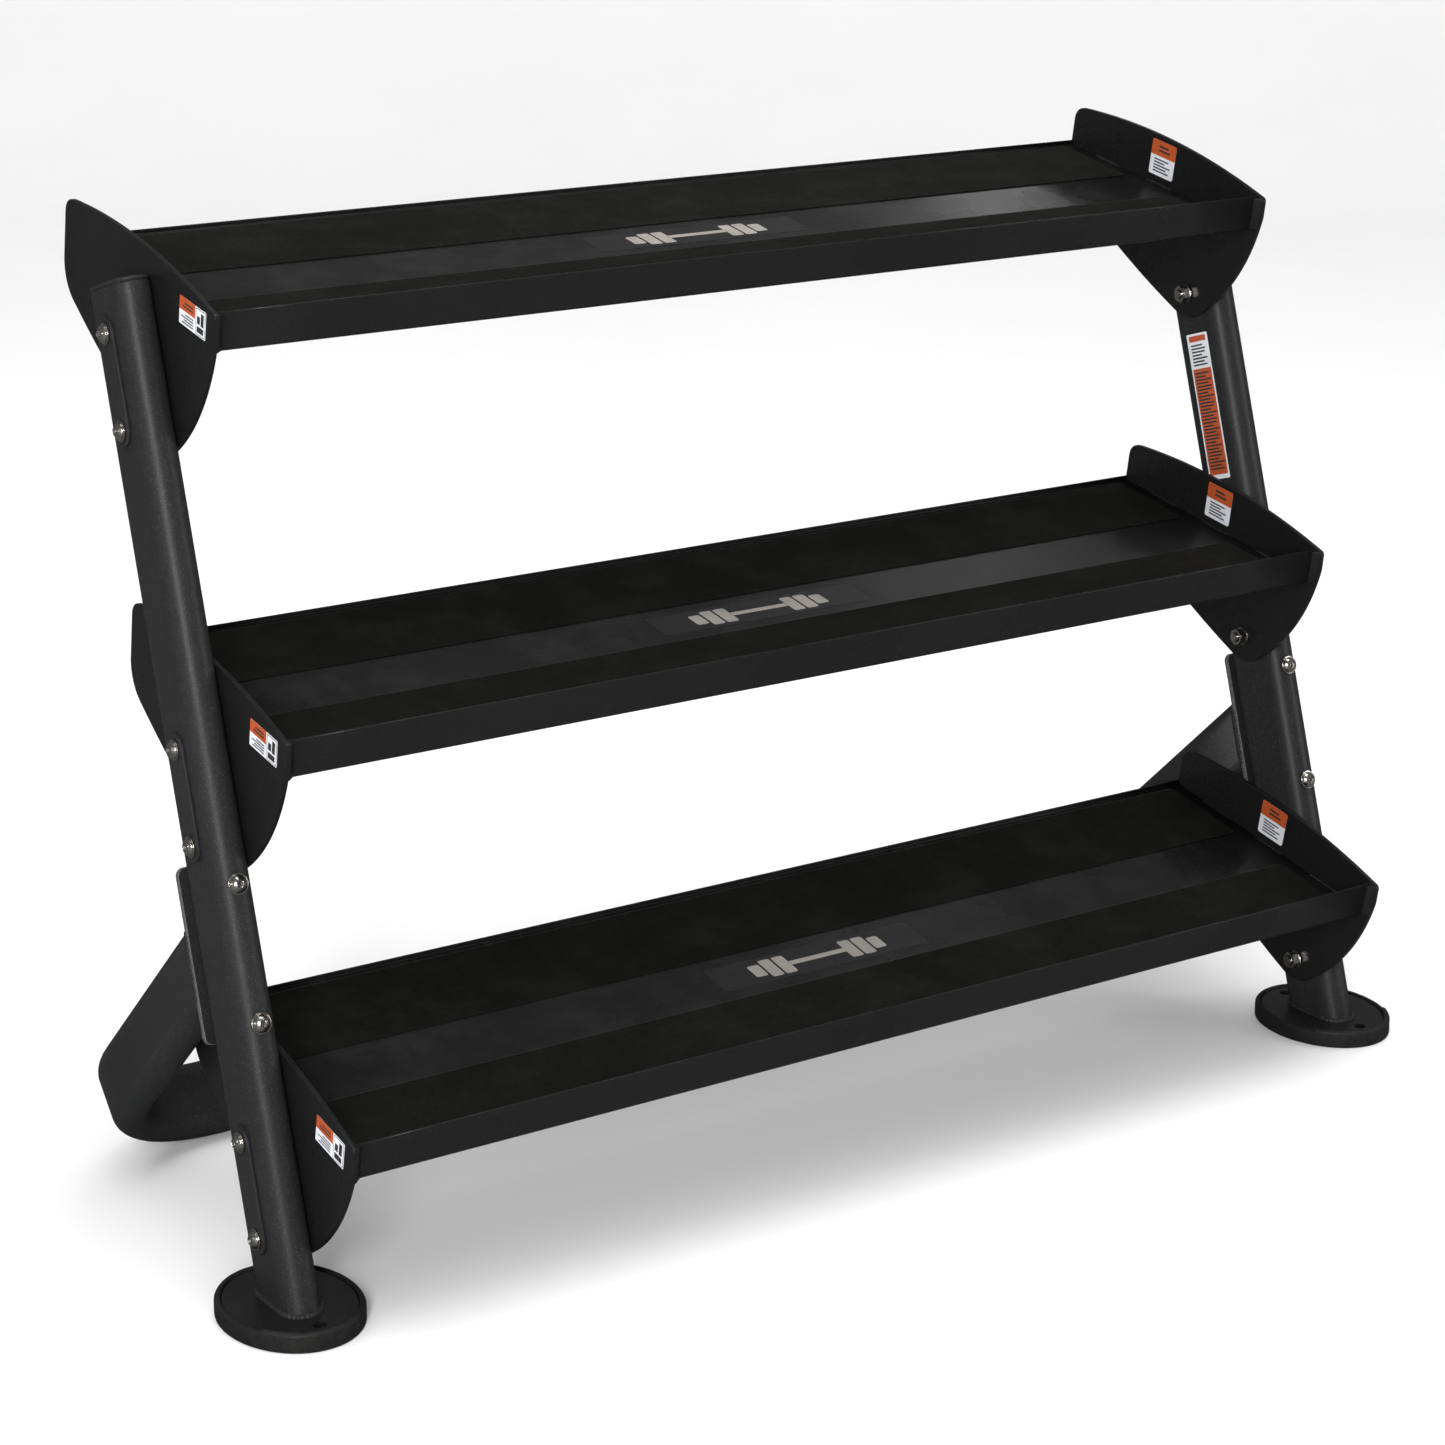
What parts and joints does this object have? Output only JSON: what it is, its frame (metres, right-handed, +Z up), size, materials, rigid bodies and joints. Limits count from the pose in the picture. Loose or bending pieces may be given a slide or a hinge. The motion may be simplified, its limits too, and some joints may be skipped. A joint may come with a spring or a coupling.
{
  "type": "dumbbell rack",
  "caption": "Three-tier dumbbell rack: tilted steel trays with rubber mats between end plates, on leaning flat-oval uprights with a bent rear floor frame.",
  "frame": {"origin": "on the floor, below the middle of the rack from side to side and from front to back", "axes": "+X along the shelves to the right of someone facing the rack, +Y to the back, +Z up"},
  "size_m": [1.398, 0.5514, 0.9648],
  "materials": {
    "frame_paint": "charcoal powder coat with a fine metallic sparkle, satin",
    "shelf_paint": "smooth black powder coat, satin to semi-gloss",
    "cap_paint": "charcoal powder coat",
    "mat_rubber": "matte black sheet rubber with a fine pebble grain",
    "foot_rubber": "moulded black rubber, dull",
    "bright_steel": "bright nickel-plated steel",
    "badge_film": null,
    "label_film": "printed film: orange header over white, no text"
  },
  "bodies": {
    "root": {"right_upright_tube": "frame_paint", "left_upright_tube": "frame_paint", "right_upright_top_cap": "cap_paint", "left_upright_top_cap": "cap_paint", "right_base_plate": "frame_paint", "left_base_plate": "frame_paint", "right_rubber_foot": "foot_rubber", "left_rubber_foot": "foot_rubber", "right_rear_bracket_plate": "frame_paint", "left_rear_bracket_plate": "frame_paint", "rear_frame_tube": "frame_paint", "bottom_shelf_tray": "shelf_paint", "right_bottom_end_plate": "shelf_paint", "left_bottom_end_plate": "shelf_paint", "right_bottom_doubler_strip": "frame_paint", "left_bottom_doubler_strip": "frame_paint", "bottom_front_mat": "mat_rubber", "bottom_rear_mat": "mat_rubber", "middle_shelf_tray": "shelf_paint", "right_middle_end_plate": "shelf_paint", "left_middle_end_plate": "shelf_paint", "right_middle_doubler_strip": "frame_paint", "left_middle_doubler_strip": "frame_paint", "middle_front_mat": "mat_rubber", "middle_rear_mat": "mat_rubber", "top_shelf_tray": "shelf_paint", "right_top_end_plate": "shelf_paint", "left_top_end_plate": "shelf_paint", "right_top_doubler_strip": "frame_paint", "left_top_doubler_strip": "frame_paint", "top_front_mat": "mat_rubber", "top_rear_mat": "mat_rubber", "shelf_bolts": "bright_steel", "shelf_bolt_outer_washers": "bright_steel", "shelf_bolt_inner_washers": "bright_steel", "shelf_bolt_nuts": "bright_steel", "bracket_bolts": "bright_steel", "bracket_bolt_washers": "bright_steel", "shelf_decals": "badge_film", "outer_plate_labels": "label_film", "inner_plate_labels": "label_film", "upright_label": "label_film"}
  },
  "joints": []
}
